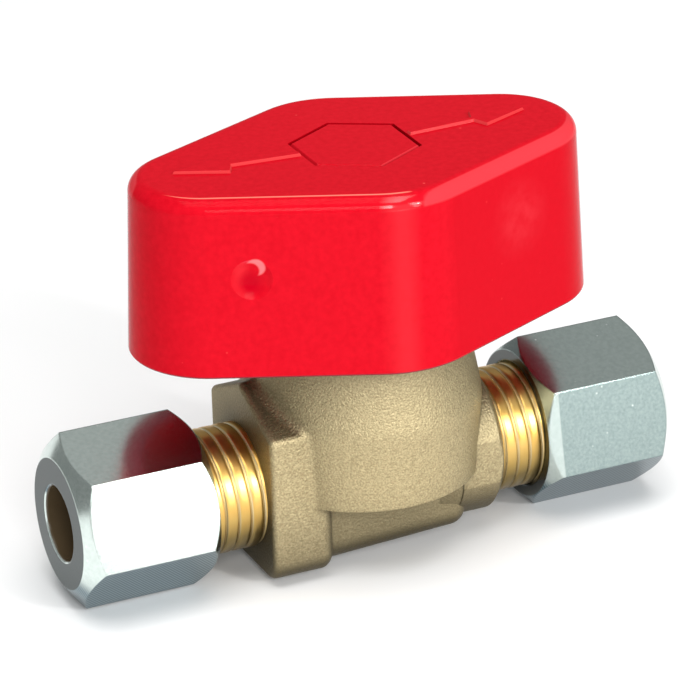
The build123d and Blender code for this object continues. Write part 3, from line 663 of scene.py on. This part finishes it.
def thread_outline(rise):
    """Section of the ridge, as places across the pitch and radii: a broad crest over a sunk root."""
    outline = []
    for i in range(THREAD_PROFILE_STEPS + 1):
        across = 2 * i / THREAD_PROFILE_STEPS - 1
        groove = THREAD_GROOVE * abs(across) ** THREAD_SHARPNESS
        outline.append((across, THREAD_ROOT_R + max(0.0, rise - groove)))
    sunk = THREAD_ROOT_R - THREAD_EMBED
    return outline + [(1, sunk), (-1, sunk)]


def thread(side, material):
    """Helical ridge from inside the collar to the mouth, where it fades out."""
    low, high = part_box("valve_body")
    mouth = low.x + THREAD_MARGIN if side == "left" else high.x - THREAD_MARGIN
    shift = THREAD_PITCH / 2 if side == "left" else -THREAD_PITCH / 2
    first, last = (x + shift for x in sorted((COLLAR_X[side], mouth)))
    count = round((last - first) / THREAD_PITCH * THREAD_STEPS)
    shape = bmesh.new()
    rows = []
    for step in range(count + 1):
        turn = 2 * math.pi * step / THREAD_STEPS
        to_mouth = step if side == "left" else count - step
        fade = min(1.0, to_mouth / THREAD_FADE_STEPS)
        rise = (THREAD_CREST_R - THREAD_ROOT_R) * fade * fade * (3 - 2 * fade)
        middle = first + (last - first) * step / count
        rows.append([
            shape.verts.new((middle + across * THREAD_PITCH / 2, r * math.cos(turn), r * math.sin(turn)))
            for across, r in thread_outline(rise)
        ])
    skin(shape, rows)
    piece = new_piece(side + "_thread", shape, material)
    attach(piece, "valve")


def arrow(side, sign, material):
    """Half of the double arrow, standing a little proud of the handle's top."""
    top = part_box("handle")[1].z
    outline = [
        (ARROW_START_X, -ARROW_HALF_WIDTH),
        (ARROW_NECK_X, -ARROW_HALF_WIDTH),
        (ARROW_BARB_X, -ARROW_BARB_WIDTH),
        (ARROW_TIP_X, 0),
        (ARROW_BARB_X, ARROW_BARB_WIDTH),
        (ARROW_NECK_X, ARROW_HALF_WIDTH),
        (ARROW_START_X, ARROW_HALF_WIDTH),
    ]
    shape = bmesh.new()
    base = shape.faces.new([shape.verts.new((sign * x, y, top - ARROW_EMBED)) for x, y in outline])
    raised = bmesh.ops.extrude_face_region(shape, geom=[base])
    lifted = [item for item in raised["geom"] if isinstance(item, bmesh.types.BMVert)]
    bmesh.ops.translate(shape, verts=lifted, vec=(0, 0, ARROW_EMBED))
    bmesh.ops.recalc_face_normals(shape, faces=shape.faces[:])
    face = max(shape.faces, key=lambda f: f.calc_center_median().z)
    bmesh.ops.inset_region(shape, faces=[face], thickness=ARROW_SLOPE, depth=ARROW_RAISE)
    pivot = Vector((sign * ARROW_START_X, ARROW_PIVOT_Y, 0))
    turn = Matrix.Rotation(ARROW_TURN[side], 3, "Z")
    bmesh.ops.rotate(shape, verts=shape.verts[:], cent=pivot, matrix=turn)
    piece = new_piece(side + "_arrow", shape, material)
    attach(piece, "handle")


def web(side, sign, material):
    """Small wedge that closes the corner between the run, the drum and the right boss."""
    shape = bmesh.new()
    rows = []
    for z in WEB_LEVELS:
        boss_y = min(BOSS_HALF_FLAT, math.sqrt(BOSS_R ** 2 - z ** 2)) - WEB_SINK
        corners = [
            (WEB_DRUM_X, WEB_INNER_Y),
            (WEB_DRUM_X, WEB_OUTER_Y),
            (WEB_BOSS_X, boss_y),
            (WEB_BOSS_X, WEB_INNER_Y),
        ]
        rows.append([shape.verts.new((x, sign * y, z)) for x, y in corners])
    skin(shape, rows)
    piece = new_piece(side + "_web", shape, material)
    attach(piece, "valve")


def floor():
    """Plain pale floor just under the nuts."""
    material, tree, shader = new_material("floor")
    tree.links.new(blend(tree, noise(tree, FLOOR_PATCH), *FLOOR_TONES), shader.inputs["Base Color"])
    shader.inputs["Roughness"].default_value = FLOOR_ROUGHNESS
    shape = bmesh.new()
    bmesh.ops.create_grid(shape, x_segments=1, y_segments=1, size=FLOOR_SIZE / 2)
    bmesh.ops.translate(shape, verts=shape.verts[:], vec=(0, 0, CAD_BOX[0].z - FLOOR_GAP))
    piece = new_piece("floor", shape, material)


def softbox(name, towards, distance, wide, tall, power):
    """Rectangular soft light that faces the valve."""
    lamp = bpy.data.lights.new(name, "AREA")
    lamp.shape = "RECTANGLE"
    lamp.size = wide
    lamp.size_y = tall
    lamp.energy = power
    light = bpy.data.objects.new(name, lamp)
    direction = Vector(towards).normalized()
    turn = direction.to_track_quat("Z", "Y").to_matrix().to_4x4()
    light.matrix_world = Matrix.Translation(LIGHT_AIM + direction * distance) @ turn
    bpy.context.scene.collection.objects.link(light)


def lights():
    """Soft lights in front, behind and overhead, a small one for sparkle and an even pale surround."""
    for name, values in LIGHTS.items():
        softbox(name, *values)
    world = bpy.data.worlds.new("surround")
    world.use_nodes = True
    surround = world.node_tree.nodes["Background"]
    surround.inputs["Color"].default_value = (*SURROUND_COLOUR, 1.0)
    surround.inputs["Strength"].default_value = SURROUND_STRENGTH
    bpy.context.scene.world = world


def camera():
    """Long lens in front of the valve, above it and to its left."""
    flat = math.cos(CAMERA_ELEVATION)
    back = Vector((
        -math.sin(CAMERA_AZIMUTH) * flat,
        -math.cos(CAMERA_AZIMUTH) * flat,
        math.sin(CAMERA_ELEVATION),
    ))
    level = Vector((math.cos(CAMERA_AZIMUTH), -math.sin(CAMERA_AZIMUTH), 0))
    right = level * math.cos(CAMERA_ROLL) + back.cross(level) * math.sin(CAMERA_ROLL)
    turn = Matrix((right, back.cross(right), back)).transposed().to_4x4()
    lens = bpy.data.cameras.new("camera")
    lens.sensor_width = CAMERA_SENSOR
    lens.lens = CAMERA_LENS
    viewer = bpy.data.objects.new("camera", lens)
    viewer.matrix_world = Matrix.Translation(CAMERA_AIM + back * CAMERA_DISTANCE) @ turn
    bpy.context.scene.collection.objects.link(viewer)
    bpy.context.scene.camera = viewer


MATERIALS = {
    "red_plastic": handle_red(),
    "forged_brass": forged_brass(),
    "turned_brass": turned_brass(),
    "zinc_steel": zinc_plate("zinc_plate", **BRIGHT_ZINC),
    "bare_steel": steel("bare_steel", *BARE_STEEL),
    "spring_steel": steel("spring_steel", *SPRING_STEEL),
    "seal_rubber": moulded("seal_rubber", *RUBBER),
    "washer_plastic": moulded("washer_plastic", *WHITE_PLASTIC),
}
dress_frame(MATERIALS)
# The right nut takes a darker copy of the zinc: painted shade
frame["nodes"]["right_union_nut"].data.materials[0] = zinc_plate("shaded_zinc", **SHADED_ZINC)
thread_look = thread_brass()
arrow_look = arrow_red()
for side, sign in (("left", -1), ("right", 1)):
    thread(side, thread_look)
    arrow(side, sign, arrow_look)
for side, sign in (("front", -1), ("back", 1)):
    web(side, sign, MATERIALS["forged_brass"])
floor()
lights()
camera()
bpy.context.scene.view_settings.view_transform = "Standard"
